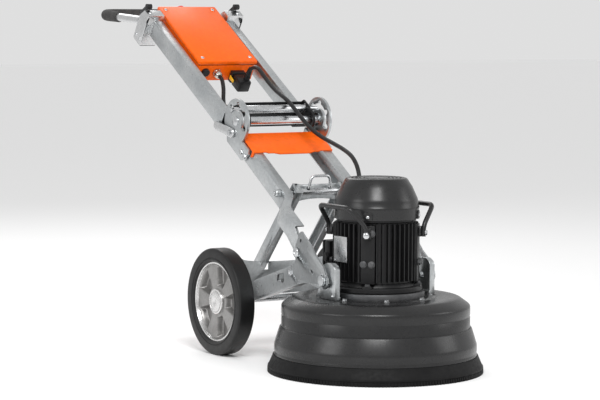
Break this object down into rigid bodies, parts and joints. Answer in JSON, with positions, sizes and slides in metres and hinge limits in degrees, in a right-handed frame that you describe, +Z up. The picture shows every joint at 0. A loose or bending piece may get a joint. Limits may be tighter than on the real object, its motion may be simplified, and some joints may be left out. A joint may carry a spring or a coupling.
{
  "type": "planetary floor grinder",
  "caption": "Walk-behind floor grinder: geared discs under a round floating shroud, upright motor, two-wheel chassis and folding handle with a control box.",
  "frame": {"origin": "middle of the object's box in plan, on the floor", "axes": "+Z up, -Y towards the grinding head, +Y towards the operator, X across the machine along the wheel axle"},
  "size_m": [0.58, 1.617, 0.9807],
  "materials": {
    "zinc": "satin zinc-plated sheet steel with faint plating mottling",
    "steel": "machined steel",
    "dark_steel": "dark cast iron and steel",
    "grey_paint": "dark grey satin paint",
    "black_paint": "black satin paint",
    "orange_paint": "orange powder coat",
    "cast_aluminium": "sand-cast aluminium",
    "aluminium": "machined aluminium",
    "tyre_rubber": "solid black tyre",
    "rubber": "black rubber",
    "foam": "dark grey foam sleeve",
    "black_plastic": "black moulded plastic",
    "red_plastic": "red moulded plastic",
    "nickel": "nickel-plated brass"
  },
  "bodies": {
    "chassis": {"chassis_plate_left": "zinc", "chassis_plate_right": "zinc", "rear_cross_panel": "zinc", "axle": "steel"},
    "wheel_left": {"tyre_left": "tyre_rubber", "rim_left": "cast_aluminium"},
    "wheel_right": {"tyre_right": "tyre_rubber", "rim_right": "cast_aluminium"},
    "head": {"shroud_body": "grey_paint", "drive_casing": "dark_steel", "ring_gear": "steel", "motor_housing": "black_paint", "fan_cover": "grey_paint", "terminal_box": "black_plastic", "lift_handle_left": "grey_paint", "lift_handle_right": "grey_paint", "fork_left": "zinc", "fork_right": "zinc"},
    "floating_shroud": {"shroud_ring": "grey_paint", "skirt": "rubber"},
    "rotor": {"rotor_shaft": "steel", "cooling_fan": "black_plastic"},
    "carrier": {"planet_carrier": "steel"},
    "tool_1": {"planet_gear_1": "steel", "grinding_disc_1": "dark_steel"},
    "tool_2": {"planet_gear_2": "steel", "grinding_disc_2": "dark_steel"},
    "tool_3": {"planet_gear_3": "steel", "grinding_disc_3": "dark_steel"},
    "lower_frame": {"lower_arm_left": "zinc", "lower_arm_right": "zinc", "cross_cover": "orange_paint", "pivot_tube": "steel"},
    "fold_lever": {"release_lever": "aluminium"},
    "strut": {"strut_frame": "zinc", "lock_tube": "steel"},
    "spring_handle": {"lock_handle": "steel"},
    "pin_left": {"lock_pin_left": "steel"},
    "pin_right": {"lock_pin_right": "steel"},
    "upper_frame": {"upper_bar_left": "zinc", "upper_bar_right": "zinc", "hinge_yoke": "black_paint", "control_box": "orange_paint", "box_lid": "orange_paint", "connector_socket": "black_plastic", "connector_plug": "black_plastic", "cable_gland": "nickel", "power_inlet": "black_plastic", "supply_cable": "rubber", "motor_cable": "rubber", "clamp_block_left": "aluminium", "clamp_block_right": "aluminium"},
    "fold_lock": {"lock_bar": "steel"},
    "stop_button": {"estop_button": "red_plastic"},
    "switch_knob": {"power_switch": "black_plastic"},
    "dial_knob": {"speed_dial": "black_plastic"},
    "cam_left": {"clamp_lever_left": "black_plastic"},
    "cam_right": {"clamp_lever_right": "black_plastic"},
    "handle": {"handlebar": "aluminium", "handle_grip": "foam"}
  },
  "joints": [
    {"name": "wheel_left_spin", "type": "hinge", "parent": "chassis", "child": "wheel_left", "pos_m": [-0.206, -0.04446, 0.15], "axis": [1, 0, 0], "continuous": true},
    {"name": "wheel_right_spin", "type": "hinge", "parent": "chassis", "child": "wheel_right", "pos_m": [0.206, -0.04446, 0.15], "axis": [1, 0, 0], "continuous": true},
    {"name": "head_tilt", "type": "hinge", "parent": "chassis", "child": "head", "pos_m": [0, -0.52446, 0.253], "axis": [1, 0, 0], "range_deg": [-4, 4]},
    {"name": "shroud_float", "type": "slide", "parent": "head", "child": "floating_shroud", "axis": [0, 0, 1], "range_m": [0, 0.012]},
    {"name": "carrier_spin", "type": "hinge", "parent": "head", "child": "carrier", "pos_m": [0, -0.51846, 0.071], "axis": [0, 0, 1], "continuous": true},
    {"name": "rotor_spin", "type": "hinge", "parent": "head", "child": "rotor", "pos_m": [0, -0.51846, 0.099], "axis": [0, 0, 1], "continuous": true},
    {"name": "tool_1_spin", "type": "hinge", "parent": "carrier", "child": "tool_1", "pos_m": [0, -0.37446, 0.06], "axis": [0, 0, 1], "continuous": true},
    {"name": "tool_2_spin", "type": "hinge", "parent": "carrier", "child": "tool_2", "pos_m": [-0.12471, -0.59047, 0.06], "axis": [0, 0, 1], "continuous": true},
    {"name": "tool_3_spin", "type": "hinge", "parent": "carrier", "child": "tool_3", "pos_m": [0.12471, -0.59047, 0.06], "axis": [0, 0, 1], "continuous": true},
    {"name": "frame_fold", "type": "hinge", "parent": "chassis", "child": "lower_frame", "pos_m": [0, -0.39816, 0.318], "axis": [1, 0, 0], "range_deg": [0, 35]},
    {"name": "lever_lift", "type": "hinge", "parent": "lower_frame", "child": "fold_lever", "pos_m": [-0.1443, 0.00453, 0.619], "axis": [1, 0, 0], "range_deg": [0, 40]},
    {"name": "strut_swing", "type": "hinge", "parent": "lower_frame", "child": "strut", "pos_m": [0, -0.23047, 0.464], "axis": [1, 0, 0], "range_deg": [0, 60]},
    {"name": "spring_handle_pull", "type": "slide", "parent": "strut", "child": "spring_handle", "axis": [0, 0, 1], "range_m": [0, 0.02], "stiffness_N_per_m": 900, "springref_m": -0.01},
    {"name": "pin_left_slide", "type": "slide", "parent": "strut", "child": "pin_left", "axis": [1, 0, 0], "range_m": [0, 0.049]},
    {"name": "pin_right_slide", "type": "slide", "parent": "strut", "child": "pin_right", "axis": [1, 0, 0], "range_m": [-0.049, 0]},
    {"name": "handle_fold", "type": "hinge", "parent": "lower_frame", "child": "upper_frame", "pos_m": [0, -0.01447, 0.6525], "axis": [1, 0, 0], "range_deg": [0, 150], "deforming": ["motor_cable"]},
    {"name": "fold_lock_slide", "type": "slide", "parent": "upper_frame", "child": "fold_lock", "axis": [0, 0.5878, 0.809], "range_m": [0, 0.009]},
    {"name": "stop_press", "type": "slide", "parent": "upper_frame", "child": "stop_button", "axis": [0, -0.849, -0.5284], "range_m": [0, 0.0035], "stiffness_N_per_m": 1500, "springref_m": -0.001},
    {"name": "switch_turn", "type": "hinge", "parent": "upper_frame", "child": "switch_knob", "pos_m": [-0.058, 0.54364, 0.94806], "axis": [0, 0.849, 0.5284], "range_deg": [0, 90]},
    {"name": "dial_turn", "type": "hinge", "parent": "upper_frame", "child": "dial_knob", "pos_m": [0.058, 0.54364, 0.94806], "axis": [0, 0.849, 0.5284], "range_deg": [-135, 135]},
    {"name": "cam_left_lift", "type": "hinge", "parent": "upper_frame", "child": "cam_left", "pos_m": [-0.1505, 0.48141, 0.97234], "axis": [1, 0, 0], "range_deg": [0, 100]},
    {"name": "cam_right_lift", "type": "hinge", "parent": "upper_frame", "child": "cam_right", "pos_m": [0.1505, 0.48141, 0.97234], "axis": [1, 0, 0], "range_deg": [0, 100]},
    {"name": "handle_slide", "type": "slide", "parent": "upper_frame", "child": "handle", "axis": [0, 0.9981, 0.061], "range_m": [-0.1, 0]}
  ],
  "couplings": [
    {"joint": "rotor_spin", "follows": "carrier_spin", "ratio": 4},
    {"joint": "tool_1_spin", "follows": "carrier_spin", "ratio": -3},
    {"joint": "tool_2_spin", "follows": "carrier_spin", "ratio": -3},
    {"joint": "tool_3_spin", "follows": "carrier_spin", "ratio": -3},
    {"joint": "pin_left_slide", "follows": "spring_handle_pull", "ratio": 2.45},
    {"joint": "pin_right_slide", "follows": "spring_handle_pull", "ratio": -2.45},
    {"joint": "fold_lock_slide", "follows": "lever_lift", "m_per_rad": 0.01289}
  ]
}
